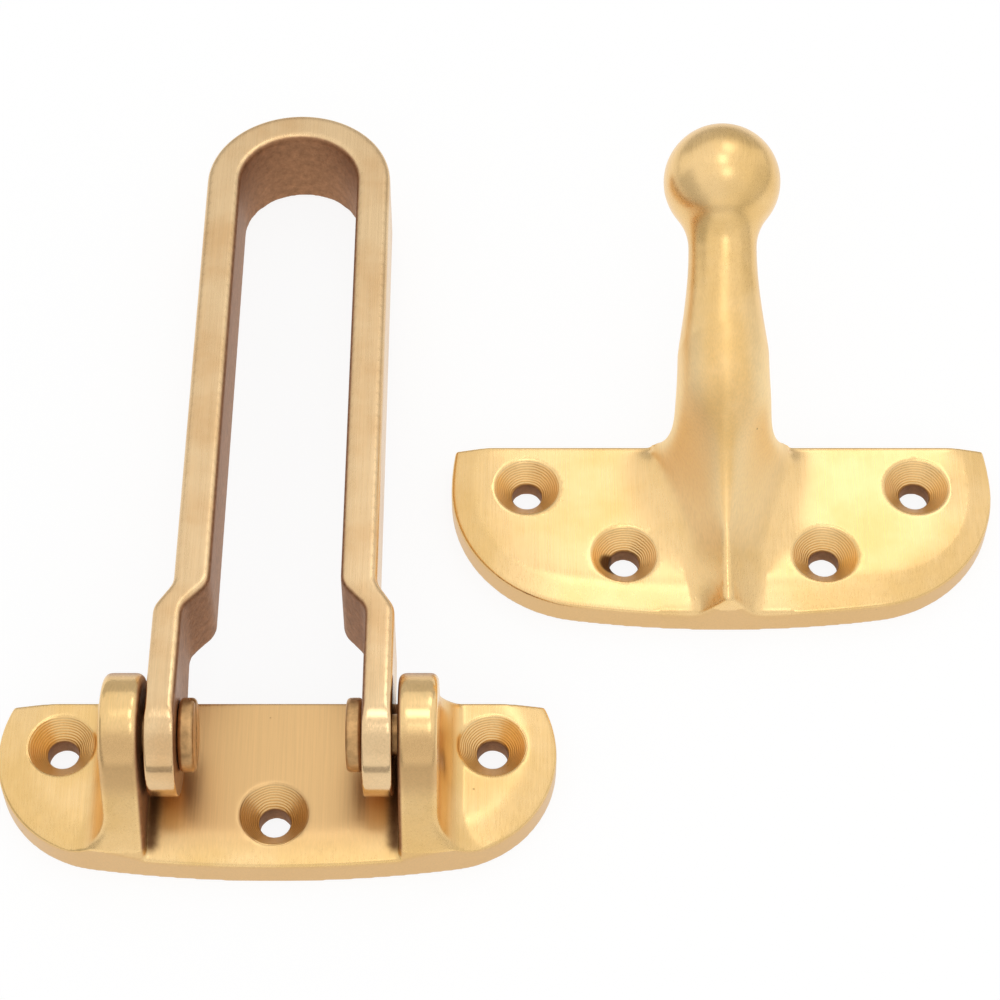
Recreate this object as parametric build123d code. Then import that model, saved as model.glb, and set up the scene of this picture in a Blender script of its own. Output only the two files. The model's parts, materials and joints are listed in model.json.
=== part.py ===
from build123d import *
import os
from math import acos, asin, atan, atan2, cos, degrees, exp, hypot, radians, sin, sqrt, tan

# A swing-bar door guard in cast brass, as a set of two halves that lie side by side.
# The hinge bracket carries a U-shaped swing loop on two shoulder screws.
# The ball keeper is the other half: the loop drops over its ball.
# Frame: X along the plates, Y away from the rounded fronts, Z up from the seats.
# The origin is the middle of the hinge bracket's seat.

# Driving dimensions, in millimetres and degrees.
rim_roll = 4.0
rim_fall = 1.0
rim_roll_round = 10.0
rim_edge_round = 0.4
screw_bore = 3.8
countersink_diameter = 8.5
countersink_angle = 90.0

bracket_width = 68.5
bracket_depth = 22.0
bracket_thickness = 5.0
bracket_widest_setback = 6.5
bracket_corner_tuck = 1.4
bracket_front_turn = 8.0
bracket_outer_hole_spacing = 52.8
bracket_outer_hole_setback = 6.0
bracket_centre_hole_setback = 15.4

ear_gap = 30.4
ear_thickness = 4.8
ear_radius = 7.4
ear_front_foot = 2.6
ear_root_fillet = 6.0
ear_edge_round = 0.9

pivot_height = 13.1
pivot_setback = 9.0

screw_shank = 5.0
screw_head_diameter = 8.9
screw_head_height = 1.9
screw_head_round = 0.5
screw_grip_depth = 3.6
screw_slot_width = 1.0
screw_slot_depth = 0.7
screw_slot_turn_left = -44.0
screw_slot_turn_right = -60.0

loop_reach = 98.4
loop_leg_width = 4.5
loop_slot_width = 15.8
loop_depth_behind_pivot = 4.0
loop_edge_round = 0.8
lug_thickness = 3.6
lug_jog_start = 14.0
lug_jog_length = 3.6
lug_jog_round = 3.0
lug_heel_reach = 14.0

keeper_width = 70.0
keeper_depth = 25.2
keeper_thickness = 4.7
keeper_widest_setback = 6.0
keeper_corner_tuck = 0.5
keeper_front_turn = 8.0
keeper_outer_hole_spacing = 50.4
keeper_outer_hole_setback = 6.3
keeper_inner_hole_spacing = 25.6
keeper_inner_hole_setback = 16.6
keeper_offset_x = 56.0
keeper_offset_y = 38.6

ball_diameter = 15.1
ball_height = 27.0
ball_reach = 26.2
stem_angle = 27.0
neck_radius = 4.4
neck_fillet = 6.0
stem_mid_radius = 5.4
stem_mid_setback = 19.3
stem_root_radius = 6.9
stem_root_flare = 0.12
ridge_front_height = 2.7
ridge_swoop = 1.8
ridge_front_half_width = 2.9
ridge_back_half_width = 8.0
ridge_hollow_reach = 1.6
ridge_foot_depth = 0.2
ridge_base_depth = 1.5
ridge_crest_round = 0.5
ridge_blunt_reach = 3.4
ridge_root_lap = 0.05
ridge_section_count = 12
flank_hug = 0.55

# Clearances.
lug_side_clearance = 0.6
head_side_clearance = 0.1
shank_running_clearance = 0.05
shank_seat_clearance = 0.02
blind_hole_spare = 0.2
loop_floor_clearance = 0.2

# Places worked out from the driving dimensions.
bracket_back = bracket_depth / 2
pivot_y = bracket_back - pivot_setback
lug_outer = ear_gap / 2 - lug_side_clearance
lug_inner = lug_outer - lug_thickness
loop_inner_radius = loop_slot_width / 2
loop_outer_radius = loop_inner_radius + loop_leg_width
lug_radius = ear_radius
keeper_back = bracket_back + keeper_offset_y
tool_height = 60.0
pick_margin = 0.01
lean_rounds = 12


def half_oval(width, depth, widest_setback, corner_tuck, front_turn):
    """Plan outline with a straight back edge on y = 0 and tangent arcs round the front.

    The front arc turns by front_turn to each side, a corner arc turns on to the widest
    place, and a side arc tucks in from there to the back corner.
    """
    half = width / 2
    rise = depth - widest_setback
    turn = radians(front_turn)
    share = sin(turn) + cos(turn) - 1
    front_radius = (half * cos(turn) - rise * (1 - sin(turn))) / share
    corner_radius = (rise * sin(turn) - half * (1 - cos(turn))) / share
    side_radius = (widest_setback**2 + corner_tuck**2) / (2 * corner_tuck)
    join = (front_radius * sin(turn), front_radius * (1 - cos(turn)) - depth)
    corner_centre = half - corner_radius
    corner_middle = (turn - radians(90)) / 2
    corner_point = (
        corner_centre + corner_radius * cos(corner_middle),
        corner_radius * sin(corner_middle) - widest_setback,
    )
    side_middle = asin(widest_setback / side_radius) / 2
    side_point = (
        half - side_radius * (1 - cos(side_middle)),
        side_radius * sin(side_middle) - widest_setback,
    )
    back_half = half - corner_tuck
    front = ThreePointArc((-join[0], join[1]), (0, -depth), join)
    corner = ThreePointArc(join, corner_point, (half, -widest_setback))
    side = ThreePointArc((half, -widest_setback), side_point, (back_half, 0))
    back = Line((back_half, 0), (-back_half, 0))
    edges = [front, corner, side, back, mirror(corner, Plane.YZ), mirror(side, Plane.YZ)]
    return make_face(edges)


def tangent_point(centre, radius, point, turn_sign):
    """Where a line from the outside point touches the circle, on the side given by turn_sign."""
    across = point[0] - centre[0]
    up = point[1] - centre[1]
    swing = atan2(up, across) + turn_sign * acos(radius / hypot(across, up))
    return (centre[0] + radius * cos(swing), centre[1] + radius * sin(swing))


def countersunk_hole(x, y, thickness):
    """Cutter for one countersunk screw hole whose rim lies on the plate's top, with head room above."""
    sink_depth = (countersink_diameter - screw_bore) / 2 / tan(radians(countersink_angle / 2))
    bore = Pos(0, 0, thickness / 2) * Cylinder(screw_bore / 2, 2 * thickness)
    sink = Pos(0, 0, thickness - sink_depth / 2) * Cone(screw_bore / 2, countersink_diameter / 2, sink_depth)
    head_room = Pos(0, 0, 3 * thickness / 2) * Cylinder(countersink_diameter / 2, thickness)
    return Pos(x, y, 0) * (bore + sink + head_room)


def rolled_plate(outline, thickness):
    """Plate of the outline whose top rolls off softly to a small edge along the curved front and sides."""
    plate = extrude(outline, thickness)
    top = plate.faces().sort_by(Axis.Z)[-1]
    rim = top.edges().filter_by(GeomType.CIRCLE)
    plate = chamfer(rim, rim_roll, rim_fall, reference=top)
    roll_start = plate.faces().sort_by(Axis.Z)[-1].edges().filter_by(GeomType.LINE, reverse=True)
    plate = fillet(roll_start, rim_roll_round)
    edge_height = thickness - rim_fall
    outer_edge = plate.edges().filter_by_position(Axis.Z, edge_height - pick_margin, edge_height + pick_margin)
    return fillet(outer_edge.filter_by(GeomType.LINE, reverse=True), rim_edge_round)


def ear_profile():
    """Side view of an ear, as (y, z): round about the pivot, sloping to the plate's front and back."""
    pivot = (-pivot_setback, pivot_height)
    front_foot = (-bracket_depth, ear_front_foot)
    back_foot = (0, bracket_thickness)
    front_touch = tangent_point(pivot, ear_radius, front_foot, -1)
    back_touch = tangent_point(pivot, ear_radius, back_foot, 1)
    top = (pivot[0], pivot[1] + ear_radius)
    slope = Polyline(back_touch, back_foot, (0, 0), (-bracket_depth, 0), front_foot, front_touch)
    crown = ThreePointArc(front_touch, top, back_touch)
    return make_face([slope, crown])


def bracket_ear(outline):
    """Right-hand ear with a hollow fillet down its outer side, trimmed to the plate's outline.

    The fillet ends at the height of the rolled rim, so that it runs out softly at the front.
    """
    inner = ear_gap / 2
    outer = inner + ear_thickness
    raw_width = ear_thickness + ear_root_fillet
    raw = Pos(inner, 0, 0) * extrude(Plane.YZ * ear_profile(), raw_width)
    low = bracket_thickness - rim_fall
    bend = ear_root_fillet * (1 - cos(radians(45)))
    fillet_arc = ThreePointArc(
        (outer, low + ear_root_fillet),
        (outer + bend, low + bend),
        (outer + ear_root_fillet, low),
    )
    far = outer + 2 * ear_root_fillet
    frame = Polyline(
        (outer + ear_root_fillet, low), (far, low), (far, tool_height),
        (outer, tool_height), (outer, low + ear_root_fillet),
    )
    scoop_face = Plane.XZ * make_face([fillet_arc, frame])
    scoop = extrude(scoop_face, bracket_depth * 2, both=True)
    ear = raw - scoop
    crown_edges = ear.edges().filter_by(GeomType.CIRCLE).filter_by(Plane.YZ)
    return fillet(crown_edges, ear_edge_round) & extrude(outline, tool_height)


def hinge_bracket():
    """Half-oval plate with two ears, three screw holes and a blind pivot hole in each ear."""
    outline = half_oval(
        bracket_width, bracket_depth, bracket_widest_setback, bracket_corner_tuck, bracket_front_turn
    )
    right_ear = bracket_ear(outline)
    body = rolled_plate(outline, bracket_thickness) + right_ear + mirror(right_ear, Plane.YZ)
    outer_hole = bracket_outer_hole_spacing / 2
    for x, setback in (
        (-outer_hole, bracket_outer_hole_setback),
        (outer_hole, bracket_outer_hole_setback),
        (0, bracket_centre_hole_setback),
    ):
        body -= countersunk_hole(x, -setback, bracket_thickness)
    hole_reach = ear_gap / 2 + screw_grip_depth + blind_hole_spare
    pivot_hole = Cylinder(screw_shank / 2 + shank_seat_clearance, 2 * hole_reach)
    body -= Pos(0, -pivot_setback, pivot_height) * Rot(0, 90, 0) * pivot_hole
    return Pos(0, bracket_back, 0) * body


def loop_plan():
    """The loop seen from above, as (x, along): two stepped legs joined by a round arch."""
    arch_centre = loop_reach - loop_outer_radius
    jog_end = lug_jog_start + lug_jog_length
    corners = [
        (lug_inner, -lug_radius),
        (lug_outer, -lug_radius),
        (lug_outer, lug_jog_start),
        (loop_outer_radius, jog_end),
        (loop_outer_radius, arch_centre),
        (loop_inner_radius, arch_centre),
        (loop_inner_radius, jog_end),
        (lug_inner, lug_jog_start),
    ]
    leg = make_face(Polyline(*corners, close=True))
    jog_corners = leg.vertices().filter_by_position(Axis.Y, lug_jog_start - pick_margin, jog_end + pick_margin)
    leg = fillet(jog_corners, lug_jog_round)
    ring = Circle(loop_outer_radius) - Circle(loop_inner_radius)
    upper = Pos(0, loop_outer_radius) * Rectangle(2 * loop_outer_radius, 2 * loop_outer_radius)
    arch = Pos(0, arch_centre) * (ring & upper)
    return leg + mirror(leg, Plane.YZ) + arch


def loop_side():
    """The loop seen from the side, as (along, up): a round lug that runs into a straight bar."""
    heel = (lug_heel_reach, -loop_depth_behind_pivot)
    heel_touch = tangent_point((0, 0), lug_radius, heel, -1)
    bar = Polyline(
        (0, lug_radius), (loop_reach, lug_radius), (loop_reach, -loop_depth_behind_pivot),
        heel, heel_touch, (0, 0), close=True,
    )
    return make_face(bar) + Circle(lug_radius)


def loop_tilt():
    """How far the loop points down at rest, so that its tip just clears the mounting plane."""
    reach = hypot(loop_reach, loop_depth_behind_pivot)
    drop = asin((pivot_height - loop_floor_clearance) / reach)
    return degrees(drop - atan(loop_depth_behind_pivot / loop_reach))


def swing_loop():
    """U-shaped bar with a round lug and a pivot hole at the end of each leg, laid back at rest."""
    plan = extrude(Pos(0, 0, -lug_radius) * loop_plan(), 2 * lug_radius)
    plan = fillet(plan.edges().group_by(Axis.Z)[-1], loop_edge_round)
    side = extrude(Plane.YZ * loop_side(), loop_outer_radius * 2, both=True)
    body = plan & side
    pivot_hole = Cylinder(screw_shank / 2 + shank_running_clearance, 4 * lug_outer)
    body -= Rot(0, 90, 0) * pivot_hole
    return Pos(0, pivot_y, pivot_height) * Rot(-loop_tilt(), 0, 0) * body


def pivot_screw(slot_turn):
    """Right-hand shoulder screw: slotted head inside the lug, shank through it into the ear."""
    head_outside = lug_inner - head_side_clearance
    head_inside = head_outside - screw_head_height
    shank_end = ear_gap / 2 + screw_grip_depth
    head = Cylinder(screw_head_diameter / 2, screw_head_height)
    head = fillet(head.edges().filter_by(GeomType.CIRCLE), screw_head_round)
    slot_place = (screw_head_height - screw_slot_depth) / 2
    head -= Pos(0, 0, -slot_place) * Box(screw_head_diameter * 2, screw_slot_width, screw_slot_depth)
    shank_length = shank_end - head_outside
    shank = Cylinder(screw_shank / 2, shank_length)
    body = head + Pos(0, 0, (screw_head_height + shank_length) / 2) * shank
    turned = Rot(0, 90, 0) * Rot(0, 0, slot_turn) * body
    return Pos(head_inside + screw_head_height / 2, pivot_y, pivot_height) * turned


def ridge_section(y, crest_height, crest_half_width, valley_half_width, plate_top):
    """One cross section of the keeper's ridge: a round crest, two straight flanks and a hollow at each foot.

    The crest's arc ends along the flank, which points at the valley on the plate's top.
    """
    lean = radians(90)
    for _ in range(lean_rounds):
        crest_drop = crest_half_width * tan(lean / 2)
        lean = atan2(crest_height - crest_drop - plate_top, valley_half_width - crest_half_width)
    shoulder = Vector(crest_half_width, crest_height - crest_drop)
    valley = Vector(valley_half_width, plate_top)
    foot = Vector(valley_half_width + ridge_hollow_reach, plate_top - ridge_foot_depth)
    steep_pull = shoulder + (valley - shoulder) * flank_hug
    flat_pull = foot + (valley - foot) * flank_hug
    right_flank = [shoulder, steep_pull, flat_pull, foot]
    left_flank = [Vector(-point.X, point.Y) for point in reversed(right_flank)]
    crest = ThreePointArc(left_flank[-1], (0, crest_height), shoulder)
    base_height = plate_top - ridge_base_depth
    base = Polyline(foot, (foot.X, base_height), (-foot.X, base_height), left_flank[0])
    face = make_face(Wire([crest, Bezier(*right_flank), *base.edges(), Bezier(*left_flank)]))
    return Pos(0, y, 0) * Rot(90, 0, 0) * face


def keeper_arm():
    """Leaning stem that flares towards its root on y = 0, with a ball on its end, turned as one piece."""
    ball_radius = ball_diameter / 2
    root_setback = ball_reach / cos(radians(stem_angle))
    deep = root_setback + 2 * stem_root_radius
    flare_end = stem_root_radius + stem_root_flare * (deep - root_setback)
    neck_drop = sqrt((ball_radius + neck_fillet) ** 2 - (neck_radius + neck_fillet) ** 2)
    hollow_centre = Vector(neck_radius + neck_fillet, -neck_drop)
    ball_touch = hollow_centre * (ball_radius / (ball_radius + neck_fillet))
    neck_touch = Vector(neck_radius, -neck_drop)
    hollow_way = ((ball_touch - hollow_centre).normalized() + Vector(-1, 0)).normalized()
    hollow_middle = hollow_centre + hollow_way * neck_fillet
    root = (stem_root_radius, -root_setback)
    profile = [
        ThreePointArc((0, ball_radius), (ball_radius, 0), ball_touch),
        ThreePointArc(ball_touch, hollow_middle, neck_touch),
        Spline(
            neck_touch, (stem_mid_radius, -stem_mid_setback), root,
            tangents=[(0, -1), (stem_root_flare, -1)],
        ),
        Polyline(root, (flare_end, -deep), (0, -deep), (0, ball_radius)),
    ]
    arm = revolve(Plane.XZ * make_face(profile), Axis.Z)
    placed = Pos(0, ball_reach, ball_height) * Rot(stem_angle - 90, 0, 0) * arm
    behind = Pos(0, tool_height, 0) * Box(2 * tool_height, 2 * tool_height, 4 * tool_height)
    return placed & behind


def keeper_ridge(root_half_width, root_crest):
    """Ridge from the stem's root to the plate's front edge, its crest soon sharp and sinking on its way.

    Near the front its feet sink with the plate's rolled rim.
    """
    front_crest = keeper_thickness + ridge_front_height
    sections = []
    for step in range(ridge_section_count):
        share = step / (ridge_section_count - 1)
        setback = keeper_depth * share
        blunt = exp(-((setback / ridge_blunt_reach) ** 2))
        crest_half_width = ridge_crest_round + blunt * (root_half_width - ridge_crest_round)
        narrowing = (ridge_back_half_width - ridge_front_half_width) * share
        crest = front_crest + (root_crest - front_crest) * (1 - share) ** ridge_swoop
        roll_share = max(0, setback - keeper_depth + rim_roll) / rim_roll
        plate_top = keeper_thickness - rim_fall * roll_share
        sections.append(
            ridge_section(-setback, crest, crest_half_width, ridge_back_half_width - narrowing, plate_top)
        )
    return loft(sections)


def ball_keeper():
    """Half-oval plate with a ridge that grows into a leaning stem with a ball on its end."""
    outline = half_oval(
        keeper_width, keeper_depth, keeper_widest_setback, keeper_corner_tuck, keeper_front_turn
    )
    arm = keeper_arm()
    root = arm.faces().sort_by(Axis.Y)[0].bounding_box()
    root_half_width = root.max.X + ridge_root_lap
    root_crest = root.max.Z + ridge_root_lap
    ridge = keeper_ridge(root_half_width, root_crest) & extrude(outline, tool_height)
    body = rolled_plate(outline, keeper_thickness) + ridge + arm
    holes = []
    for spacing, setback in (
        (keeper_outer_hole_spacing, keeper_outer_hole_setback),
        (keeper_inner_hole_spacing, keeper_inner_hole_setback),
    ):
        for x in (-spacing / 2, spacing / 2):
            holes.append(countersunk_hole(x, -setback, keeper_thickness))
    return Pos(keeper_offset_x, keeper_back, 0) * (body - holes)


os.makedirs("parts", exist_ok=True)
right_screw = pivot_screw(screw_slot_turn_right)
left_screw = mirror(pivot_screw(screw_slot_turn_left), Plane.YZ)
nodes = {
    "hinge_bracket": hinge_bracket(),
    "swing_loop": swing_loop(),
    "pivot_screw_left": left_screw,
    "pivot_screw_right": right_screw,
    "ball_keeper": ball_keeper(),
}
for name, solid in nodes.items():
    export_step(solid, f"parts/{name}.step")
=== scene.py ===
import json
import math

import bmesh
import bpy
import numpy as np
from bpy.props import FloatProperty, FloatVectorProperty, IntProperty, PointerProperty
from bpy.types import Operator, Panel, PropertyGroup
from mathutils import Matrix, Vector


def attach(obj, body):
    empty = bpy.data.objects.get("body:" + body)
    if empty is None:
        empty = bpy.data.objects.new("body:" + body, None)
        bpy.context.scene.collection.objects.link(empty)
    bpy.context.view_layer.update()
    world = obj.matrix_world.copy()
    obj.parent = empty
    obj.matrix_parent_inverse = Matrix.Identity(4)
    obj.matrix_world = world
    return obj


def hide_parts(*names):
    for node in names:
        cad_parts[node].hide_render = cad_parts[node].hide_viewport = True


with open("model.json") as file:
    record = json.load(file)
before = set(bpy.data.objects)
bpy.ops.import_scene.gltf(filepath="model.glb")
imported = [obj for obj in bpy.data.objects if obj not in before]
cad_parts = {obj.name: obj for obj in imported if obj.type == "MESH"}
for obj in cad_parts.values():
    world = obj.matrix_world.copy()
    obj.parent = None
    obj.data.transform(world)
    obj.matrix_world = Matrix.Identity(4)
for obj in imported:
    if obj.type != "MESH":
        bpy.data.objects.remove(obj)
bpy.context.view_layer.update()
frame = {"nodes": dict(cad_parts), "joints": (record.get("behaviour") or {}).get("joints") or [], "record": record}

bl_info = {
    "name": "Brass Door Guard",
    "version": (1, 0, 0),
    "blender": (4, 5, 0),
    "location": "3D View > Sidebar > Door Guard",
    "description": "Dresses a swing-bar door guard in brushed brass and lights it on a white table",
    "category": "Object",
}

MM = 0.001

# Sizes of the solids, which the finish is set out from.
BRACKET_THICKNESS = 5.0 * MM
KEEPER_THICKNESS = 4.7 * MM
KEEPER_BACK = 49.6 * MM
SINK_DEPTH = 2.35 * MM
COUNTERSINK_RADIUS = 4.25 * MM
EAR_INNER = 15.2 * MM
LOOP_ARCH_CENTRE = 86.0 * MM
LOOP_TILT = math.radians(5.2)
PIVOT = np.array(frame["joints"][0]["pos_m"])

# Softening of the solids.
WELD_GAP = 0.002 * MM
RELAX_PULL = 0.5
LEAST_PULL = 0.01

# In the groups below, a pair is where a soft step starts and ends.
# How far a surface faces a way, as that part of its normal.
FACES_DOWN = (0.4, 0.8)
FACES_UP = (0.5, 0.9)
FACES_BACK = (0.5, 0.9)
FACES_INWARD = (0.4, 0.8)
NOT_FACING_UP = (-0.6, -0.2)
SHADED_CROWN_FACES_FRONT = (0.25, 0.6)
BAR_FACES_INWARD = (0.35, 0.75)
BAR_FACES_DOWN = (0.3, 0.7)
SPINE_FACES_FRONT = (0.2, 0.6)
FLANK_FACES_ASIDE = (0.3, 0.75)

# How far a vertex stands proud of its neighbours or lies deep, in mesh cells.
PROUD = (0.01, 0.1)
DEEP = (0.01, 0.08)
WEAR_SPREAD_ROUNDS = 4

# Countersinks and the plates' rims.
SINK_EDGE = (COUNTERSINK_RADIUS - 0.15 * MM, COUNTERSINK_RADIUS + 0.1 * MM)
SINK_LIP = 0.2 * MM
SINK_DULL = 0.25
# Painted shade: how far the bores are darkened to dark brown.
BORE_SHADE = 0.4
RIM_TOP = 0.3 * MM

# Hinge bracket: side is measured from its middle, and y and z in the frame.
BETWEEN_EARS_SIDE = (EAR_INNER - 0.3 * MM, EAR_INNER + 0.2 * MM)
EAR_FOOT = 5.6 * MM
EAR_WALL_SIDE = (12 * MM, 14 * MM)
EAR_WALL_HEIGHT = (4.8 * MM, EAR_FOOT)
# Painted shade on the ears: this share all over them, and the full amount on the front slopes of their crowns.
EAR_LEAST_SHADE = 0.15
CROWN_HEIGHT = (12 * MM, 15 * MM)
RUBBED_CROWN_HEIGHT = (16 * MM, 18 * MM)
RUBBED = 0.8
FLOOR_FRONT = (-10.5 * MM, -6 * MM)
BRACKET_RIM_DULL = 0.9
# Painted shade: dark brown in the corners under the lugs and along the floor's concave edges between the ears.
SHADED_CORNER_SIDE = (12.6 * MM, 14.8 * MM)
SHADED_CORNER_FRONT = (-10.4 * MM, -8 * MM)
CORNER_SHADE = 0.9
FLOOR_CREASE_SHADE = 0.5

# Swing loop: measured along its legs from the pivot.
BARE_UNDERSIDE = (0, 8 * MM)
RUBBED_LUG = (3 * MM, 9 * MM)
# Painted shade: how far the loop's concave creases are darkened.
LOOP_CREASE_SHADE = 0.4

# Ball keeper: setback is measured forwards from its back edge, height from the plate's top.
EASED_START = (-7 * MM, -2 * MM)
EASED_END = (12 * MM, 20 * MM)
EASED_HEIGHT = (0.3 * MM, 5 * MM)
FOOT_HEIGHT = (-0.3 * MM, -0.1 * MM)
FOOT_SETBACK = (0.5 * MM, 2.5 * MM)
HOLE_CLEARING = (4.5 * MM, 5.2 * MM)
CREST_WIDTH = (0.3 * MM, 2 * MM)
CREST_SETBACK = (5 * MM, 17 * MM)
GABLE_WIDTH = (7 * MM, 10 * MM)
GABLE_SETBACK = (22 * MM, 24 * MM)
GABLE_HEIGHT = (-3.7 * MM, -2.7 * MM)
EASE_PULL = 0.5
GABLE_PULL = 0.04
EASE_ROUNDS = 1400
SPINE_START = (3 * MM, 6 * MM)
SPINE_END = (13 * MM, 19 * MM)
SPINE_RUN_OUT = (0, 12 * MM)
SPINE_WIDTH = 1.3 * MM
SPINE_RISE = 0.35 * MM
FILED_START = (-14 * MM, 2 * MM)
FILED_HEIGHT = (0.3 * MM, 3 * MM)
KEEPER_RIM_DULL = 0.8
BLOT_OFFSET = (-1.7 * MM, -0.4 * MM)
BLOT_RADIUS = 2.0 * MM

# The numbers that each casting stores on its vertices for the brass to read.
MASKS = ("dull_and_shade", "cast", "filed", "pale", "wear", "grime_and_shade", "sink", "ring")

# Stage: two opposite corners of each flat sheet, in metres, and how bright the cards are.
TABLE = ((-0.2, -0.07, 0), (0.26, 0.3, 0))
CARDS = (
    ("card_left", (-0.8, -1.6, 0), (-0.8, 0.2, 0.5), 0.58),
    ("card_right", (0.9, -1.6, 0), (0.9, 0.4, 0.5), 0.8),
    ("card_front", (-0.9, -0.7, 0.3), (0.9, -0.7, 1.5), 0.9),
    ("card_back", (-0.9, 0.9, 0), (0.9, 0.9, 0.6), 0.6),
    ("studio_floor", (-3, -3, -0.02), (3, 3, -0.02), 0.45),
)
TABLE_GREY = 0.16
TABLE_GLOW = 0.88
# Place and size of each softbox, and its share of the softbox light.
SOFTBOXES = (
    ("softbox_overhead", (0.03, 0.16, 0.8), 0.2, 1.0),
    ("softbox_front", (0.14, -0.2, 0.8), 0.22, 0.8),
    ("softbox_right", (0.19, 0.57, 0.79), 0.28, 0.68),
)
SOFTBOX_TARGET = (0.03, 0.03, 0.0)
SENSOR_WIDTH = 36.0
NEAREST_VIEW = 0.01


def linear(hex_colour):
    """Linear red, green and blue of an sRGB hex value."""
    channels = [int(hex_colour[place:place + 2], 16) / 255 for place in (1, 3, 5)]
    return tuple(c / 12.92 if c <= 0.04045 else ((c + 0.055) / 1.055) ** 2.4 for c in channels)


def hole_axes(prefix):
    """Plan places of the screw holes in the record whose mount names start with prefix."""
    places = []
    for mount in frame["record"]["mounts"]:
        if not mount["name"].startswith(prefix) or mount["kind"] == "flat_face":
            continue
        half = mount["dims"].get("spacing_x_mm", 0) * MM / 2
        x, y = mount["pos_m"][:2]
        places += [(x - half, y), (x + half, y)] if half else [(x, y)]
    return np.array(places)


class DoorGuardFinish(PropertyGroup):
    """Colours and grain of the brass."""

    plate_gold: FloatVectorProperty(
        name="Plate gold", description="Brushed brass of the plates' wings and the keeper",
        subtype="COLOR", size=3, min=0, max=1, default=linear("#F6D195"))
    plate_deep: FloatVectorProperty(
        name="Plate deep gold", description="Deeper patches in the plates' brushed brass",
        subtype="COLOR", size=3, min=0, max=1, default=linear("#EBC380"))
    loop_gold: FloatVectorProperty(
        name="Loop gold", description="Paler, pinker brass of the swing loop",
        subtype="COLOR", size=3, min=0, max=1, default=linear("#E8C89A"))
    loop_deep: FloatVectorProperty(
        name="Loop deep gold", description="Deeper patches in the loop's brass",
        subtype="COLOR", size=3, min=0, max=1, default=linear("#DDB684"))
    # This gold is duller brass on the rims, the floor and in the countersinks, and painted shade on the ears.
    dull_and_shade_gold: FloatVectorProperty(
        name="Dull gold", description="Brass that the brush missed, as on the rims and the bracket's floor",
        subtype="COLOR", size=3, min=0, max=1, default=linear("#D9B27C"))
    cast_brown: FloatVectorProperty(
        name="Cast brown", description="Bare casting skin on the inner walls",
        subtype="COLOR", size=3, min=0, max=1, default=linear("#A87C5A"))
    # This paler gold is painted light on the keeper's ridge flanks that face aside, set against the darker
    # gold-on-gold reflection there.
    painted_flank_light: FloatVectorProperty(
        name="Filed gold", description="Fresh, paler brass where the ridge was filed to shape",
        subtype="COLOR", size=3, min=0, max=1, default=linear("#FFE3AE"))
    screw_brown: FloatVectorProperty(
        name="Screw brown", description="Dull turned brass of the pivot screws",
        subtype="COLOR", size=3, min=0, max=1, default=linear("#DAAD76"))
    # This dark brown is painted shade in the corners under the lugs, in the creases and in the bores. It is real
    # residue only in the blot in one countersink.
    grime_and_shade_brown: FloatVectorProperty(
        name="Grime brown", description="Dark residue in the corners that no brush reached",
        subtype="COLOR", size=3, min=0, max=1, default=linear("#68492E"))
    grain_width: FloatProperty(
        name="Grain width", description="Width of one brush mark", unit="LENGTH", min=0.00005,
        default=0.22 * MM)
    grain_length: FloatProperty(
        name="Grain length", description="Length of one brush mark", unit="LENGTH", min=0.001,
        default=14 * MM)
    cell: FloatProperty(
        name="Mesh cell", description="Cell of the even mesh that the softened castings get",
        unit="LENGTH", min=0.0001, default=0.17 * MM)
    softening: IntProperty(
        name="Softening", description="Rounds of relaxing that soften the castings' edges", min=0, default=14)
    triangle_limit: IntProperty(
        name="Triangle limit", description="Most triangles that one casting may have", min=1000,
        default=190000)


class DoorGuardStage(PropertyGroup):
    """Camera and lights."""

    camera_place: FloatVectorProperty(
        name="Camera place", description="Where the camera stands", subtype="XYZ", unit="LENGTH", size=3,
        default=(0.0273, -0.1727, 0.3277))
    camera_elevation: FloatProperty(
        name="Camera elevation", description="How far the camera looks down", subtype="ANGLE",
        default=math.radians(56.48))
    lens: FloatProperty(name="Lens", description="Focal length on a 36 mm sensor", default=108.0)
    room_light: FloatProperty(
        name="Room light", description="Brightness that the room gives to matt surfaces", min=0, default=0.62)
    softbox_light: FloatProperty(
        name="Softbox light", description="Brightness of the face of the softbox overhead", min=0,
        default=1.6)


def add_node(tree, kind, settings=None, inputs=None):
    """Adds one node, sets its fields, and sets or links its inputs."""
    node = tree.nodes.new(kind)
    for field, value in (settings or {}).items():
        setattr(node, field, value)
    for socket, value in (inputs or {}).items():
        if isinstance(value, bpy.types.NodeSocket):
            tree.links.new(value, node.inputs[socket])
        else:
            node.inputs[socket].default_value = value
    return node


def bare_material(name):
    """New material whose node tree is still empty."""
    material = bpy.data.materials.new(name)
    material.use_nodes = True
    material.node_tree.nodes.clear()
    return material


def soft_step(values, low, high):
    """Smooth rise from 0 at low to 1 at high, for whole arrays."""
    share = np.clip((values - low) / (high - low), 0, 1)
    return share * share * (3 - 2 * share)


def read_mesh(mesh):
    """Vertex places, vertex normals and edge ends as arrays."""
    places = np.empty(len(mesh.vertices) * 3, np.float32)
    normals = np.empty(len(mesh.vertices) * 3, np.float32)
    ends = np.empty(len(mesh.edges) * 2, np.int32)
    mesh.vertices.foreach_get("co", places)
    mesh.vertex_normals.foreach_get("vector", normals)
    mesh.edges.foreach_get("vertices", ends)
    return places.reshape(-1, 3), normals.reshape(-1, 3), ends.reshape(-1, 2)


def neighbour_mean(values, ends):
    """Mean of each vertex's neighbours along the mesh's edges."""
    near = ends.ravel()
    far = ends[:, ::-1].ravel()
    count = np.maximum(np.bincount(near, minlength=len(values)), 1)
    columns = [np.bincount(near, column[far], len(values)) / count for column in values.T]
    return np.stack(columns, 1)


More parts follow.
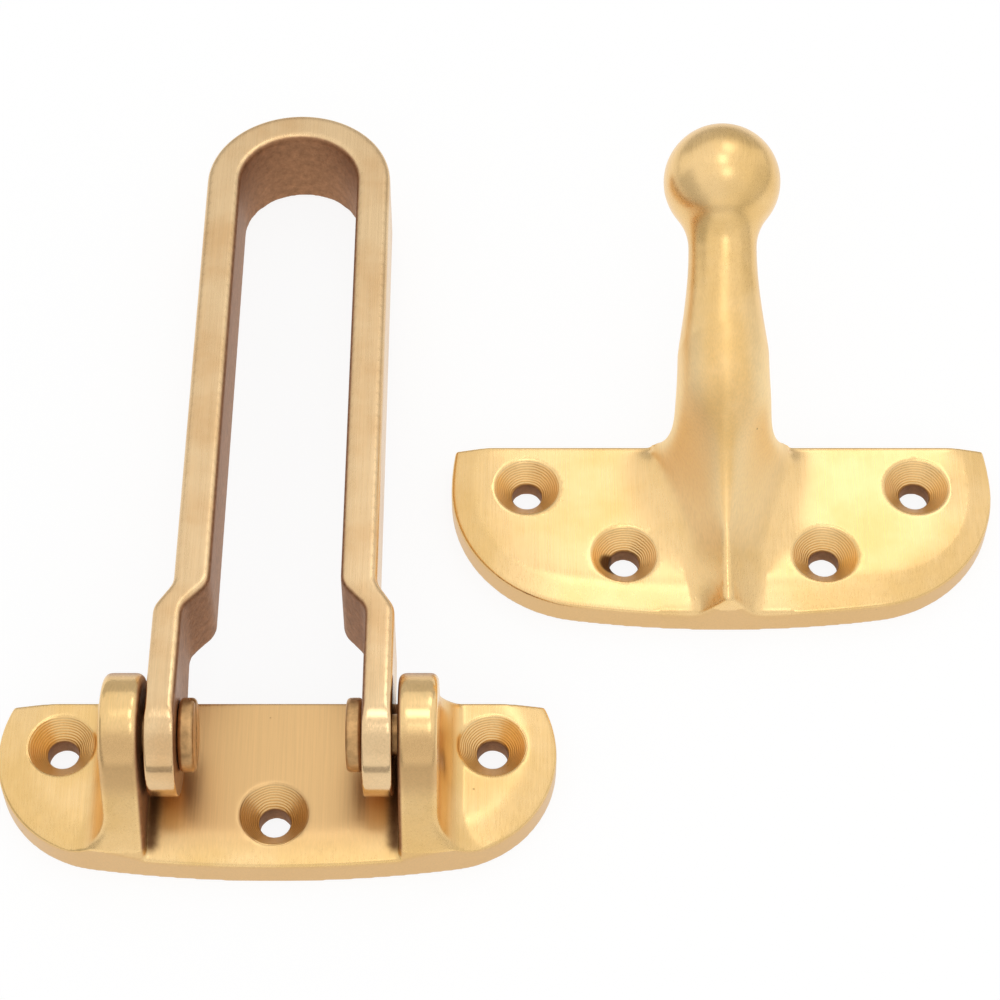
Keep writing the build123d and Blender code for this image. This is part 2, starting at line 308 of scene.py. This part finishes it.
def edge_wear(places, normals, ends, cell):
    """How far each vertex stands proud of its neighbours and how far it lies deep, as two shares.

    The gap to the neighbours' mean is taken along the normal, and both shares are spread a little.
    """
    proud = ((places - neighbour_mean(places, ends)) * normals).sum(1) / cell
    shares = np.stack([soft_step(proud, *PROUD), soft_step(-proud, *DEEP)], 1)
    for _ in range(WEAR_SPREAD_ROUNDS):
        shares = (shares + neighbour_mean(shares, ends)) / 2
    return shares.T


def bake_modifiers(piece):
    """Gives the piece the mesh that its modifiers make, and takes them off."""
    ready = piece.evaluated_get(bpy.context.evaluated_depsgraph_get())
    baked = bpy.data.meshes.new_from_object(ready)
    piece.modifiers.clear()
    raw = piece.data
    piece.data = baked
    bpy.data.meshes.remove(raw)


def softened(node, name, body, finish):
    """Copy of a solid on an even mesh, relaxed so that its edges are soft like a linished casting."""
    mesh = frame["nodes"][node].data.copy()
    mesh.materials.clear()
    merged = bmesh.new()
    merged.from_mesh(mesh)
    bmesh.ops.remove_doubles(merged, verts=merged.verts, dist=WELD_GAP)
    merged.to_mesh(mesh)
    merged.free()
    piece = bpy.data.objects.new(name, mesh)
    bpy.context.scene.collection.objects.link(piece)
    remesh = piece.modifiers.new("Even mesh", "REMESH")
    remesh.mode = "VOXEL"
    remesh.voxel_size = finish.cell
    remesh.use_smooth_shade = True
    relax = piece.modifiers.new("Soft edges", "SMOOTH")
    relax.factor = RELAX_PULL
    relax.iterations = finish.softening
    bake_modifiers(piece)
    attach(piece, body)
    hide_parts(node)
    return piece


def ease(mesh, share, rounds):
    """Moves vertices towards the mean of their neighbours, by their own share, for some rounds."""
    places, _, ends = read_mesh(mesh)
    near = np.flatnonzero(share > LEAST_PULL)
    inner = np.isin(ends, near).any(1)
    local, links = np.unique(ends[inner], return_inverse=True)
    links = links.reshape(-1, 2)
    spots = places[local]
    pull = share[local, None]
    for _ in range(rounds):
        spots += pull * (neighbour_mean(spots, links) - spots)
    places[local] = spots
    mesh.vertices.foreach_set("co", places.ravel())
    mesh.update()


def swell(mesh, share, rise):
    """Moves vertices out along their normals by their own share of a rise."""
    places, normals, _ = read_mesh(mesh)
    places += normals * (rise * share)[:, None]
    mesh.vertices.foreach_set("co", places.astype(np.float32).ravel())
    mesh.update()


def thinned(piece, limit):
    """Takes triangles out of the flat places until the piece keeps to the limit.

    The numbers that its vertices store are carried over.
    """
    piece.data.calc_loop_triangles()
    count = len(piece.data.loop_triangles)
    if count > limit:
        fewer = piece.modifiers.new("Fewer triangles", "DECIMATE")
        fewer.ratio = limit / count
        bake_modifiers(piece)


def finished(piece, masks, material, finish):
    """Stores the masks on the piece's vertices, 0 where one isn't given, thins its mesh and dresses it."""
    plain = np.zeros(len(piece.data.vertices))
    for name in MASKS:
        layer = piece.data.attributes.new(name, "FLOAT", "POINT")
        layer.data.foreach_set("value", np.asarray(masks.get(name, plain), np.float32))
    thinned(piece, finish.triangle_limit)
    piece.data.materials.append(material)


def nearest_hole(places, axes):
    """Distance in plan from each place to the nearest hole's axis."""
    gaps = np.linalg.norm(places[:, None, :2] - axes[None], axis=2)
    return gaps.min(1)


def sink_share(places, hole_gap, thickness):
    """1 in the countersinks and bores and 0 outside, and 1 in the bores alone and 0 outside."""
    near = 1 - soft_step(hole_gap, *SINK_EDGE)
    sink = near * (1 - soft_step(places[:, 2], thickness - SINK_LIP, thickness))
    bore_top = thickness - SINK_DEPTH
    bore = near * (1 - soft_step(places[:, 2], bore_top - SINK_LIP, bore_top + SINK_LIP))
    return sink, bore


def brass_patterns(tree, finish, grain_tilt):
    """Brush marks, patches, sand grit and pores, each as one number over the surface."""
    place = add_node(tree, "ShaderNodeTexCoord").outputs["Object"]
    brush_place = add_node(
        tree, "ShaderNodeMapping", {"vector_type": "TEXTURE"},
        {"Vector": place, "Rotation": (grain_tilt, 0, 0),
         "Scale": (finish.grain_width, finish.grain_length, finish.grain_width)},
    ).outputs["Vector"]
    brush = add_node(
        tree, "ShaderNodeTexNoise", None,
        {"Vector": brush_place, "Scale": 1.0, "Detail": 3.0, "Roughness": 0.65},
    ).outputs["Fac"]
    # Patches of about 12 mm where the brush pressed harder.
    patch = add_node(
        tree, "ShaderNodeTexNoise", None,
        {"Vector": place, "Scale": 1 / (12 * MM), "Detail": 4.0, "Roughness": 0.6},
    ).outputs["Fac"]
    # Sand grit of about 0.9 mm in the casting skin, with finer grit on it.
    grit = add_node(
        tree, "ShaderNodeTexNoise", None,
        {"Vector": place, "Scale": 1 / (0.9 * MM), "Detail": 5.0, "Roughness": 0.7},
    ).outputs["Fac"]
    # Pores up to 0.4 mm wide, drawn from cells of 6 mm, few of which lie at the surface.
    cell_gap = add_node(
        tree, "ShaderNodeTexVoronoi", None, {"Vector": place, "Scale": 1 / (6 * MM)},
    ).outputs["Distance"]
    pore_share = add_node(
        tree, "ShaderNodeMapRange", {"interpolation_type": "SMOOTHSTEP"},
        {"Value": cell_gap, "From Min": 0.015, "From Max": 0.035, "To Min": 0.5, "To Max": 1.0},
    ).outputs["Result"]
    return brush, patch, grit, pore_share


def brushed_colour(tree, stored, brush, patch, light, deep, finish):
    """Gold in lighter and deeper patches, paler on the keeper's flanks as painted light, duller where the brush
    missed, darker on the ears as painted shade, and lined.
    """
    patch_share = add_node(
        tree, "ShaderNodeMapRange", {"interpolation_type": "SMOOTHSTEP"},
        {"Value": patch, "From Min": 0.35, "From Max": 0.7},
    ).outputs["Result"]
    colour = add_node(
        tree, "ShaderNodeMix", {"data_type": "RGBA"},
        {"Factor": patch_share, "A": (*light, 1), "B": (*deep, 1)},
    ).outputs["Result"]
    # The pale tint is painted light on the keeper's flanks. The dull tint is duller brass, and painted shade on
    # the ears.
    for key, tint in (("pale", finish.painted_flank_light), ("dull_and_shade", finish.dull_and_shade_gold)):
        colour = add_node(
            tree, "ShaderNodeMix", {"data_type": "RGBA"},
            {"Factor": stored[key], "A": colour, "B": (*tint, 1)},
        ).outputs["Result"]
    line_share = add_node(
        tree, "ShaderNodeMapRange", None,
        {"Value": brush, "From Min": 0.3, "From Max": 0.7, "To Min": 0.93, "To Max": 1.05},
    ).outputs["Result"]
    return add_node(
        tree, "ShaderNodeVectorMath", {"operation": "SCALE"}, {"Vector": colour, "Scale": line_share},
    ).outputs["Vector"]


def cast_colour(tree, stored, grit, brushed, finish):
    """Brown casting skin and dark brown over the brushed colour, both broken up by the grit; the dark brown is
    painted shade in the corners, creases and bores, and a real black blot in one countersink.
    """
    skin_share = add_node(
        tree, "ShaderNodeMapRange", None,
        {"Value": grit, "From Min": 0.3, "From Max": 0.7, "To Min": 0.72, "To Max": 1.15},
    ).outputs["Result"]
    skin = add_node(
        tree, "ShaderNodeVectorMath", {"operation": "SCALE"},
        {"Vector": tuple(finish.cast_brown), "Scale": skin_share},
    ).outputs["Vector"]
    skinned = add_node(
        tree, "ShaderNodeMix", {"data_type": "RGBA"},
        {"Factor": stored["cast"], "A": brushed, "B": skin},
    ).outputs["Result"]
    # Dark brown over it all: painted shade in the corners, creases and bores, and the one real black blot.
    grime_and_shade_edge = add_node(
        tree, "ShaderNodeMath", {"operation": "MULTIPLY_ADD"}, {0: grit, 1: 0.3, 2: stored["grime_and_shade"]},
    ).outputs[0]
    grime_and_shade_share = add_node(
        tree, "ShaderNodeMapRange", {"interpolation_type": "SMOOTHSTEP"},
        {"Value": grime_and_shade_edge, "From Min": 0.3, "From Max": 1.1},
    ).outputs["Result"]
    return add_node(
        tree, "ShaderNodeMix", {"data_type": "RGBA"},
        {"Factor": grime_and_shade_share, "A": skinned, "B": (*finish.grime_and_shade_brown, 1)},
    ).outputs["Result"]


def countersink_rings(tree, stored, patch):
    """Wave of the rings that the countersinking tool left, 0.24 mm apart and shifted by the patches."""
    steps = add_node(
        tree, "ShaderNodeMath", {"operation": "MULTIPLY"},
        {0: stored["ring"], 1: 2 * math.pi / (0.24 * MM)},
    ).outputs[0]
    turns = add_node(
        tree, "ShaderNodeMath", {"operation": "MULTIPLY_ADD"}, {0: patch, 1: 25.0, 2: steps},
    ).outputs[0]
    wave = add_node(tree, "ShaderNodeMath", {"operation": "SINE"}, {0: turns}).outputs[0]
    return add_node(
        tree, "ShaderNodeMath", {"operation": "MULTIPLY"}, {0: wave, 1: stored["sink"]},
    ).outputs[0]


def brass_roughness(tree, stored, brush):
    """Roughness that follows the brush lines, higher where duller, cast, filed, painted with shade or blotted,
    lower where worn.
    """
    rough = add_node(
        tree, "ShaderNodeMapRange", None,
        {"Value": brush, "From Min": 0.3, "From Max": 0.7, "To Min": 0.25, "To Max": 0.33},
    ).outputs["Result"]
    for key, change in (("dull_and_shade", 0.08), ("cast", 0.25), ("filed", 0.18), ("grime_and_shade", 0.2), ("wear", -0.14)):
        rough = add_node(
            tree, "ShaderNodeMath", {"operation": "MULTIPLY_ADD"}, {0: stored[key], 1: change, 2: rough},
        ).outputs[0]
    return rough


def brass_relief(tree, stored, brush, grit, pore_share, rings):
    """Normal with brush marks, casting skin, pores and rings, each laid on the one before."""
    skin_height = add_node(
        tree, "ShaderNodeMath", {"operation": "MULTIPLY"}, {0: grit, 1: stored["cast"]},
    ).outputs[0]
    relief = {}
    for height, strength, depth in (
        (brush, 0.25, 0.02 * MM),
        (skin_height, 0.6, 0.15 * MM),
        (pore_share, 0.6, 0.1 * MM),
        (rings, 0.5, 0.03 * MM),
    ):
        bump = add_node(
            tree, "ShaderNodeBump", None,
            {"Height": height, "Strength": strength, "Distance": depth, **relief},
        )
        relief = {"Normal": bump.outputs["Normal"]}
    return relief["Normal"]


def brushed_brass(name, light, deep, finish, grain_tilt):
    """Satin brass casting, linished front to back after it was cast in sand.

    The eye sees fine lines along the brush, soft deeper patches, rougher filed flanks, paler where they face aside
    as painted light, duller places where the brush did not reach, painted shade on the ears, brown casting skin on
    the inner walls, dark brown painted shade in the corners, creases and bores, a real black blot in one
    countersink, a few pores, smoother worn edges and turned rings in the countersinks.
    It reads the numbers in MASKS from the piece.
    """
    material = bare_material(name)
    tree = material.node_tree
    stored = {
        key: add_node(tree, "ShaderNodeAttribute", {"attribute_name": key}).outputs["Fac"] for key in MASKS
    }
    brush, patch, grit, pore_share = brass_patterns(tree, finish, grain_tilt)
    brushed = brushed_colour(tree, stored, brush, patch, light, deep, finish)
    aged = cast_colour(tree, stored, grit, brushed, finish)
    rings = countersink_rings(tree, stored, patch)
    ring_share = add_node(
        tree, "ShaderNodeMath", {"operation": "MULTIPLY_ADD"}, {0: rings, 1: 0.1, 2: pore_share},
    ).outputs[0]
    colour = add_node(
        tree, "ShaderNodeVectorMath", {"operation": "SCALE"}, {"Vector": aged, "Scale": ring_share},
    ).outputs["Vector"]
    shader = add_node(
        tree, "ShaderNodeBsdfPrincipled", None,
        {"Base Color": colour, "Metallic": 1.0, "Roughness": brass_roughness(tree, stored, brush),
         "Normal": brass_relief(tree, stored, brush, grit, pore_share, rings)},
    )
    add_node(tree, "ShaderNodeOutputMaterial", None, {"Surface": shader.outputs["BSDF"]})
    return material


def turned_brass(name, colour, hub):
    """Dull lathe-turned brass: rings round the screw's axis and brown streaks."""
    material = bare_material(name)
    tree = material.node_tree
    place = add_node(tree, "ShaderNodeTexCoord").outputs["Object"]
    # The hub's axis runs along X, so X is flattened before the distance is taken.
    flat = add_node(
        tree, "ShaderNodeMapping", {"vector_type": "TEXTURE"},
        {"Vector": place, "Location": tuple(hub), "Scale": (1e6, 1, 1)},
    ).outputs["Vector"]
    gap = add_node(tree, "ShaderNodeVectorMath", {"operation": "LENGTH"}, {0: flat}).outputs["Value"]
    # Rings left by the lathe, drawn 0.5 mm apart so that they show.
    turns = add_node(
        tree, "ShaderNodeMath", {"operation": "MULTIPLY"}, {0: gap, 1: 2 * math.pi / (0.5 * MM)},
    ).outputs[0]
    rings = add_node(tree, "ShaderNodeMath", {"operation": "SINE"}, {0: turns}).outputs[0]
    # Streaks about 1.5 mm across where lacquer and dirt stayed.
    streak = add_node(
        tree, "ShaderNodeTexNoise", None,
        {"Vector": place, "Scale": 1 / (1.5 * MM), "Detail": 4.0, "Roughness": 0.65},
    ).outputs["Fac"]
    streak_share = add_node(
        tree, "ShaderNodeMapRange", None,
        {"Value": streak, "From Min": 0.3, "From Max": 0.7, "To Min": 0.6, "To Max": 1.1},
    ).outputs["Result"]
    shade = add_node(
        tree, "ShaderNodeVectorMath", {"operation": "SCALE"},
        {"Vector": tuple(colour), "Scale": streak_share},
    ).outputs["Vector"]
    bump = add_node(
        tree, "ShaderNodeBump", None, {"Height": rings, "Strength": 0.3, "Distance": 0.02 * MM},
    ).outputs["Normal"]
    shader = add_node(
        tree, "ShaderNodeBsdfPrincipled", None,
        {"Base Color": shade, "Metallic": 1.0, "Roughness": 0.42, "Normal": bump},
    )
    add_node(tree, "ShaderNodeOutputMaterial", None, {"Surface": shader.outputs["BSDF"]})
    return material


def bracket_masks(mesh, finish):
    """Where the bracket is duller, bare, worn or countersunk, and where shade is painted on its ears, corners,
    creases and bores, by place and by normal.
    """
    places, normals, ends = read_mesh(mesh)
    x, y, z = places.T
    side = np.abs(x)
    hole_gap = nearest_hole(places, hole_axes("bracket"))
    sink, bore = sink_share(places, hole_gap, BRACKET_THICKNESS)
    between = 1 - soft_step(side, *BETWEEN_EARS_SIDE)
    inner_wall = soft_step(-normals[:, 0] * np.sign(x), *FACES_INWARD)
    inner_wall = inner_wall * soft_step(side, *EAR_WALL_SIDE) * soft_step(z, *EAR_WALL_HEIGHT)
    hidden = np.maximum(soft_step(-normals[:, 2], *FACES_DOWN), soft_step(normals[:, 1], *FACES_BACK))
    floor_dull = between * soft_step(normals[:, 2], *FACES_UP) * soft_step(y, *FLOOR_FRONT)
    rim_dull = BRACKET_RIM_DULL * soft_step(-normals[:, 2], *NOT_FACING_UP)
    rim_dull = rim_dull * (z < BRACKET_THICKNESS + RIM_TOP)
    # Painted shade: the ears darken a little all over, and fully on the front slopes of their crowns.
    shaded_crown_front = soft_step(z, *CROWN_HEIGHT) * soft_step(-normals[:, 1], *SHADED_CROWN_FACES_FRONT)
    ear_painted_shade = (EAR_LEAST_SHADE + (1 - EAR_LEAST_SHADE) * shaded_crown_front) * (z > EAR_FOOT)
    wear, deep = edge_wear(places, normals, ends, finish.cell)
    rubbed = RUBBED * soft_step(z, *RUBBED_CROWN_HEIGHT)
    # Painted shade: dark brown in the corners under the lugs, along the floor's concave edges between the ears,
    # and in the bores.
    shaded_corner = soft_step(side, *SHADED_CORNER_SIDE) * soft_step(y, *SHADED_CORNER_FRONT) * between
    floor_crease = deep * between
    painted_shade = [CORNER_SHADE * shaded_corner, FLOOR_CREASE_SHADE * floor_crease, BORE_SHADE * bore]
    return {
        "dull_and_shade": np.maximum.reduce([floor_dull, rim_dull, ear_painted_shade, SINK_DULL * sink]),
        "cast": np.maximum.reduce([inner_wall, hidden * (1 - sink), bore]),
        "wear": np.maximum(wear, rubbed),
        "grime_and_shade": np.maximum.reduce(painted_shade),
        "sink": sink,
        "ring": hole_gap,
    }


def loop_masks(mesh, finish):
    """Where the loop is bare or worn, and where shade is painted in its creases: bare on the faces that look at
    its middle line or down.
    """
    places, normals, ends = read_mesh(mesh)
    # Lay the bar level about its pivot: y runs along the legs and z out of the front face.
    turn = np.array([
        [1, 0, 0],
        [0, math.cos(LOOP_TILT), -math.sin(LOOP_TILT)],
        [0, math.sin(LOOP_TILT), math.cos(LOOP_TILT)],
    ])
    level = (places - PIVOT) @ turn.T
    facing = normals @ turn.T
    along = level[:, 1]
    middle = np.stack([np.zeros(len(level)), np.clip(along, 0, LOOP_ARCH_CENTRE)], 1)
    outward = level[:, :2] - middle
    outward /= np.linalg.norm(outward, axis=1, keepdims=True) + 1e-9
    inward = -(outward * facing[:, :2]).sum(1)
    inside = soft_step(inward, *BAR_FACES_INWARD)
    under = soft_step(-facing[:, 2], *BAR_FACES_DOWN) * soft_step(along, *BARE_UNDERSIDE)
    wear, deep = edge_wear(places, normals, ends, finish.cell)
    rubbed = RUBBED * (1 - soft_step(along, *RUBBED_LUG))
    return {
        "cast": np.maximum(inside, under),
        "wear": np.maximum(wear, rubbed),
        # Painted shade in the loop's concave creases.
        "grime_and_shade": LOOP_CREASE_SHADE * deep,
    }


def keeper_measures(mesh, axes):
    """Setback from the keeper's back edge, height over its plate and distance from its middle plane."""
    places, _, _ = read_mesh(mesh)
    setback = KEEPER_BACK - places[:, 1]
    height = places[:, 2] - KEEPER_THICKNESS
    off_middle = np.abs(places[:, 0] - axes.mean(0)[0])
    return setback, height, off_middle


def ease_ridge(mesh, axes, setback, height, off_middle):
    """Blends the ridge's flanks and feet into the plate and the stem, and keeps the crest sharp.

    The gable at the plate's front gets a small part of the same easing.
    """
    places, _, _ = read_mesh(mesh)
    clear_of_holes = soft_step(nearest_hole(places, axes), *HOLE_CLEARING)
    along = soft_step(setback, *EASED_START) * (1 - soft_step(setback, *EASED_END))
    foot = soft_step(height, *FOOT_HEIGHT) * soft_step(setback, *FOOT_SETBACK) * clear_of_holes
    flank = along * np.maximum(foot, soft_step(height, *EASED_HEIGHT))
    sharp_crest = (1 - soft_step(off_middle, *CREST_WIDTH)) * soft_step(setback, *CREST_SETBACK)
    gable = (1 - soft_step(off_middle, *GABLE_WIDTH)) * soft_step(setback, *GABLE_SETBACK)
    gable *= soft_step(height, *GABLE_HEIGHT)
    ease(mesh, EASE_PULL * np.maximum(flank * (1 - sharp_crest), GABLE_PULL * gable), EASE_ROUNDS)


def raise_spine(mesh, setback, height, off_middle):
    """Swells the stem's front in a bell curve about the middle, so that the crest runs up it."""
    _, normals, _ = read_mesh(mesh)
    stem = soft_step(height, *SPINE_START) * (1 - soft_step(height, *SPINE_END))
    bell = np.exp(-((off_middle / SPINE_WIDTH) ** 2))
    spine = stem * bell * (1 - soft_step(setback, *SPINE_RUN_OUT))
    swell(mesh, spine * soft_step(-normals[:, 1], *SPINE_FACES_FRONT), SPINE_RISE)


def keeper_masks(mesh, axes, setback, height, finish):
    """Where the keeper is duller, bare, filed, worn, blotted or countersunk, by place and by normal; painted light
    pales its flanks and painted shade darkens its bores.
    """
    places, normals, ends = read_mesh(mesh)
    hole_gap = nearest_hole(places, axes)
    sink, bore = sink_share(places, hole_gap, KEEPER_THICKNESS)
    low = places[:, 2] < KEEPER_THICKNESS + RIM_TOP
    filed = soft_step(setback, *FILED_START) * (1 - soft_step(setback, *EASED_END))
    filed *= soft_step(height, *FILED_HEIGHT)
    hidden = soft_step(-normals[:, 2], *FACES_DOWN) * low
    rim_dull = KEEPER_RIM_DULL * soft_step(-normals[:, 2], *NOT_FACING_UP) * low
    wear, _ = edge_wear(places, normals, ends, finish.cell)
    # A blot of black residue on the wall of the left one of the two inner countersinks.
    blot_place = hole_axes("keeper_inner")[0] + np.array(BLOT_OFFSET)
    blot_gap = np.linalg.norm(places[:, :2] - blot_place, axis=1)
    blot = sink * (1 - soft_step(blot_gap, BLOT_RADIUS / 2, BLOT_RADIUS))
    return {
        "dull_and_shade": np.maximum(rim_dull, SINK_DULL * sink),
        "cast": np.maximum(hidden * (1 - sink), bore),
        "filed": filed,
        # Painted light: the flanks that face aside are paler, set against their darker gold-on-gold reflection.
        "pale": filed * soft_step(np.abs(normals[:, 0]), *FLANK_FACES_ASIDE),
        "wear": wear,
        # Painted shade in the bores, and the blot of real black residue.
        "grime_and_shade": np.maximum(BORE_SHADE * bore, blot),
        "sink": sink,
        "ring": hole_gap,
    }


class DOORGUARD_OT_bracket(Operator):
    """Soften the hinge bracket's edges and give it brushed brass"""

    bl_idname = "door_guard.bracket"
    bl_label = "Hinge Bracket"

    def execute(self, context):
        finish = context.scene.door_guard_finish
        piece = softened("hinge_bracket", "bracket_casting", "plates", finish)
        brass = brushed_brass(
            "Brushed brass casting, bracket", finish.plate_gold, finish.plate_deep, finish, 0.0)
        finished(piece, bracket_masks(piece.data, finish), brass, finish)
        return {"FINISHED"}


class DOORGUARD_OT_loop(Operator):
    """Soften the swing loop's edges and give it pale brushed brass with a bare casting skin inside"""

    bl_idname = "door_guard.loop"
    bl_label = "Swing Loop"

    def execute(self, context):
        finish = context.scene.door_guard_finish
        piece = softened("swing_loop", "loop_casting", "loop", finish)
        brass = brushed_brass(
            "Brushed brass casting, loop", finish.loop_gold, finish.loop_deep, finish, -LOOP_TILT)
        finished(piece, loop_masks(piece.data, finish), brass, finish)
        return {"FINISHED"}


class DOORGUARD_OT_screws(Operator):
    """Give the two pivot screws dull turned brass"""

    bl_idname = "door_guard.screws"
    bl_label = "Pivot Screws"

    def execute(self, context):
        finish = context.scene.door_guard_finish
        material = turned_brass("Turned brass, pivot screws", finish.screw_brown, PIVOT)
        for node in ("pivot_screw_left", "pivot_screw_right"):
            mesh = frame["nodes"][node].data
            mesh.materials.clear()
            mesh.materials.append(material)
        return {"FINISHED"}


class DOORGUARD_OT_keeper(Operator):
    """Soften the ball keeper's edges, blend its ridge into the stem and give it brushed brass"""

    bl_idname = "door_guard.keeper"
    bl_label = "Ball Keeper"

    def execute(self, context):
        finish = context.scene.door_guard_finish
        piece = softened("ball_keeper", "keeper_casting", "plates", finish)
        axes = hole_axes("keeper")
        # The measures are taken before the easing, so that each vertex keeps its part of the finish.
        setback, height, off_middle = keeper_measures(piece.data, axes)
        ease_ridge(piece.data, axes, setback, height, off_middle)
        raise_spine(piece.data, setback, height, off_middle)
        brass = brushed_brass(
            "Brushed brass casting, keeper", finish.plate_gold, finish.plate_deep, finish, 0.0)
        finished(piece, keeper_masks(piece.data, axes, setback, height, finish), brass, finish)
        return {"FINISHED"}


def white_table(name):
    """Matt white table that shows as white, with a faint shadow under the object."""
    material = bare_material(name)
    tree = material.node_tree
    matt = add_node(
        tree, "ShaderNodeBsdfDiffuse", None, {"Color": (TABLE_GREY, TABLE_GREY, TABLE_GREY, 1)})
    glow = add_node(tree, "ShaderNodeEmission", None, {"Color": (1, 1, 1, 1), "Strength": TABLE_GLOW})
    both = add_node(tree, "ShaderNodeAddShader", None, {0: matt.outputs[0], 1: glow.outputs[0]})
    add_node(tree, "ShaderNodeOutputMaterial", None, {"Surface": both.outputs[0]})
    return material


def studio_card(name, grey):
    """Evenly lit grey card of the studio."""
    material = bare_material(name)
    tree = material.node_tree
    glow = add_node(tree, "ShaderNodeEmission", None, {"Color": (1, 1, 1, 1), "Strength": grey})
    add_node(tree, "ShaderNodeOutputMaterial", None, {"Surface": glow.outputs[0]})
    return material


def flat_sheet(name, low, high, material):
    """Level or upright rectangle of the stage between two opposite corners."""
    (left, front, bottom), (right, back, top) = low, high
    if bottom == top:
        corners = [(left, front, top), (right, front, top), (right, back, top), (left, back, top)]
    else:
        corners = [(left, front, bottom), (right, back, bottom), (right, back, top), (left, front, top)]
    mesh = bpy.data.meshes.new(name)
    mesh.from_pydata(corners, [], [(0, 1, 2, 3)])
    mesh.materials.append(material)
    sheet = bpy.data.objects.new(name, mesh)
    bpy.context.scene.collection.objects.link(sheet)
    return sheet


def softbox(name, place, size, brightness):
    """Square area light that faces the object, with the brightness of its face."""
    light = bpy.data.lights.new(name, "AREA")
    light.shape = "SQUARE"
    light.size = size
    light.energy = brightness * math.pi * size**2
    lamp = bpy.data.objects.new(name, light)
    lamp.location = place
    aim = Vector(place) - Vector(SOFTBOX_TARGET)
    lamp.rotation_euler = aim.to_track_quat("Z", "Y").to_euler()
    bpy.context.scene.collection.objects.link(lamp)


def white_room(name, room_light):
    """World that the camera and mirrors see as white, and that lights matt surfaces at room_light."""
    world = bpy.data.worlds.new(name)
    world.use_nodes = True
    tree = world.node_tree
    tree.nodes.clear()
    path = add_node(tree, "ShaderNodeLightPath")
    seen = path.outputs["Is Camera Ray"]
    for mirrored in ("Is Glossy Ray", "Is Transmission Ray"):
        seen = add_node(
            tree, "ShaderNodeMath", {"operation": "MAXIMUM"}, {0: seen, 1: path.outputs[mirrored]},
        ).outputs[0]
    brightness = add_node(
        tree, "ShaderNodeMix", {"data_type": "FLOAT"}, {"Factor": seen, "A": room_light, "B": 1.0},
    ).outputs["Result"]
    room = add_node(tree, "ShaderNodeBackground", None, {"Color": (1, 1, 1, 1), "Strength": brightness})
    add_node(tree, "ShaderNodeOutputWorld", None, {"Surface": room.outputs[0]})
    return world


def standing_camera(stage):
    """Camera that stands in front of the object and looks down at it."""
    eye = bpy.data.cameras.new("camera")
    eye.lens = stage.lens
    eye.sensor_width = SENSOR_WIDTH
    eye.clip_start = NEAREST_VIEW
    camera = bpy.data.objects.new("camera", eye)
    camera.location = stage.camera_place
    camera.rotation_euler = (math.pi / 2 - stage.camera_elevation, 0, 0)
    bpy.context.scene.collection.objects.link(camera)
    return camera


class DOORGUARD_OT_stage(Operator):
    """Lay the white table, hang the softboxes, stand up the cards and set up the camera"""

    bl_idname = "door_guard.stage"
    bl_label = "Stage"

    def execute(self, context):
        scene = context.scene
        stage = scene.door_guard_stage
        flat_sheet("table", *TABLE, white_table("Matt white table"))
        for name, place, size, share in SOFTBOXES:
            softbox(name, place, size, share * stage.softbox_light)
        for name, low, high, grey in CARDS:
            card = flat_sheet(name, low, high, studio_card(name, grey))
            # The cards show only in the brass.
            card.visible_camera = False
            card.visible_shadow = False
        scene.world = white_room("Studio", stage.room_light)
        scene.camera = standing_camera(stage)
        scene.view_settings.view_transform = "Standard"
        return {"FINISHED"}


class DOORGUARD_PT_panel(Panel):
    """Lists the door guard's pieces, finish and stage"""

    bl_idname = "DOORGUARD_PT_panel"
    bl_label = "Door Guard"
    bl_space_type = "VIEW_3D"
    bl_region_type = "UI"
    bl_category = "Door Guard"

    def draw(self, context):
        layout = self.layout
        for operator in OPERATORS:
            layout.operator(operator.bl_idname)
        for group in (context.scene.door_guard_finish, context.scene.door_guard_stage):
            for field in group.__annotations__:
                layout.prop(group, field)


OPERATORS = (
    DOORGUARD_OT_bracket, DOORGUARD_OT_loop, DOORGUARD_OT_screws, DOORGUARD_OT_keeper, DOORGUARD_OT_stage,
)
CLASSES = (DoorGuardFinish, DoorGuardStage, *OPERATORS, DOORGUARD_PT_panel)


def register():
    for cls in CLASSES:
        bpy.utils.register_class(cls)
    bpy.types.Scene.door_guard_finish = PointerProperty(type=DoorGuardFinish)
    bpy.types.Scene.door_guard_stage = PointerProperty(type=DoorGuardStage)


def unregister():
    del bpy.types.Scene.door_guard_stage
    del bpy.types.Scene.door_guard_finish
    for cls in reversed(CLASSES):
        bpy.utils.unregister_class(cls)


def main():
    register()
    bpy.ops.door_guard.bracket()
    bpy.ops.door_guard.loop()
    bpy.ops.door_guard.screws()
    bpy.ops.door_guard.keeper()
    bpy.ops.door_guard.stage()


if __name__ == "__main__":
    main()
